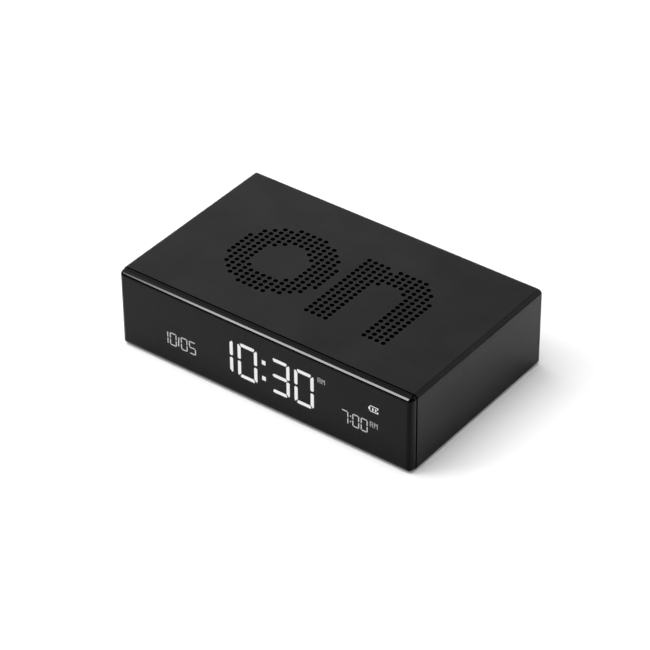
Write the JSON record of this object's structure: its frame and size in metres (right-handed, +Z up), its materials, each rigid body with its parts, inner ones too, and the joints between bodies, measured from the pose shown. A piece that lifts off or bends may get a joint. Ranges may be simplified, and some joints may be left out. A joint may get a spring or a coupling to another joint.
{
  "type": "digital alarm clock",
  "caption": "Flat digital alarm clock with a glossy display lens and a perforated sleeve, turned over to switch the alarm on or off; setting keys and charging socket at rear.",
  "frame": {"origin": "centre of the underside", "axes": "+X to the right seen from the display, the display faces -Y, +Z up"},
  "size_m": [0.105, 0.0644, 0.0265],
  "materials": {
    "sleeve": "satin black, fine moulded texture",
    "lens": "polished black",
    "tape": "black adhesive tape",
    "frame": "moulded black",
    "fastener": "plated screws",
    "cover": "satin black, fine moulded texture",
    "cloth": "fine black weave",
    "tray": "moulded dark grey",
    "panel": "bonded glass pair",
    "diffuser": "white film",
    "guide": "clear",
    "lamp_board": "white coated",
    "lamp": "phosphor coated",
    "flex": "amber film",
    "connector": "ivory",
    "board": "green coated",
    "chip": "black",
    "crystal": "drawn can",
    "capacitor": "sleeved can",
    "socket": "drawn shell",
    "tongue": "black",
    "switch": "black",
    "plunger": "ivory",
    "button": "satin black",
    "copper": "copper foil",
    "spring": "plated wire",
    "can": "plated",
    "ball": "polished",
    "cell": "foil pouch",
    "cell_tape": "foam tape",
    "wire": "insulated",
    "basket": "pressed, black",
    "magnet": "nickel plated",
    "coil": "enamelled wire",
    "cone": "pressed black",
    "surround": "soft roll",
    "gasket": "closed foam"
  },
  "bodies": {
    "clock": {"housing_sleeve": "sleeve", "front_lens": "lens", "lens_tape": "tape", "display_frame": "frame", "frame_screws": "fastener", "rear_cover": "cover", "upper_grille_cloth": "cloth", "lower_grille_cloth": "cloth", "chassis_tray": "tray", "display_panel": "panel", "diffuser_sheet": "diffuser", "light_guide": "guide", "backlight_board": "lamp_board", "backlight_lamps": "lamp", "display_flex": "flex", "flex_connector": "connector", "main_board": "board", "board_screws": "fastener", "controller_chip": "chip", "power_chips": "chip", "timing_crystal": "crystal", "capacitors": "capacitor", "battery_connector": "connector", "speaker_connector": "connector", "socket_shell": "socket", "socket_tongue": "tongue", "tact_switches": "switch", "touch_pad": "copper", "touch_spring": "spring", "tilt_base": "chip", "tilt_can": "can", "battery_cell": "cell", "battery_tape": "cell_tape", "battery_lead": "wire", "speaker_basket": "basket", "speaker_yoke": "magnet", "speaker_magnet": "magnet", "pole_plate": "magnet", "speaker_surround": "surround", "speaker_gasket": "gasket", "speaker_screws": "fastener", "speaker_lead": "wire"},
    "hour_key": {"hour_button": "button", "hour_plunger": "plunger"},
    "minute_key": {"minute_button": "button", "minute_plunger": "plunger"},
    "alarm_key": {"alarm_button": "button", "alarm_plunger": "plunger"},
    "light_key": {"light_button": "button", "light_plunger": "plunger"},
    "tilt_weight": {"tilt_ball": "ball"},
    "speaker_diaphragm": {"speaker_cone": "cone", "voice_coil": "coil"}
  },
  "joints": [
    {"name": "hour_press", "type": "slide", "parent": "clock", "child": "hour_key", "axis": [0, -1, 0], "range_m": [0, 0.0005], "stiffness_N_per_m": 2000, "springref_m": -0.0001},
    {"name": "minute_press", "type": "slide", "parent": "clock", "child": "minute_key", "axis": [0, -1, 0], "range_m": [0, 0.0005], "stiffness_N_per_m": 2000, "springref_m": -0.0001},
    {"name": "alarm_press", "type": "slide", "parent": "clock", "child": "alarm_key", "axis": [0, -1, 0], "range_m": [0, 0.0005], "stiffness_N_per_m": 2000, "springref_m": -0.0001},
    {"name": "light_press", "type": "slide", "parent": "clock", "child": "light_key", "axis": [0, -1, 0], "range_m": [0, 0.0005], "stiffness_N_per_m": 2000, "springref_m": -0.0001},
    {"name": "tilt_drop", "type": "slide", "parent": "clock", "child": "tilt_weight", "axis": [0, 0, 1], "range_m": [0, 0.0025]},
    {"name": "cone_travel", "type": "slide", "parent": "clock", "child": "speaker_diaphragm", "axis": [0, 0, 1], "range_m": [-0.0004, 0.0004], "stiffness_N_per_m": 1000, "deforming": ["speaker_surround"]}
  ]
}
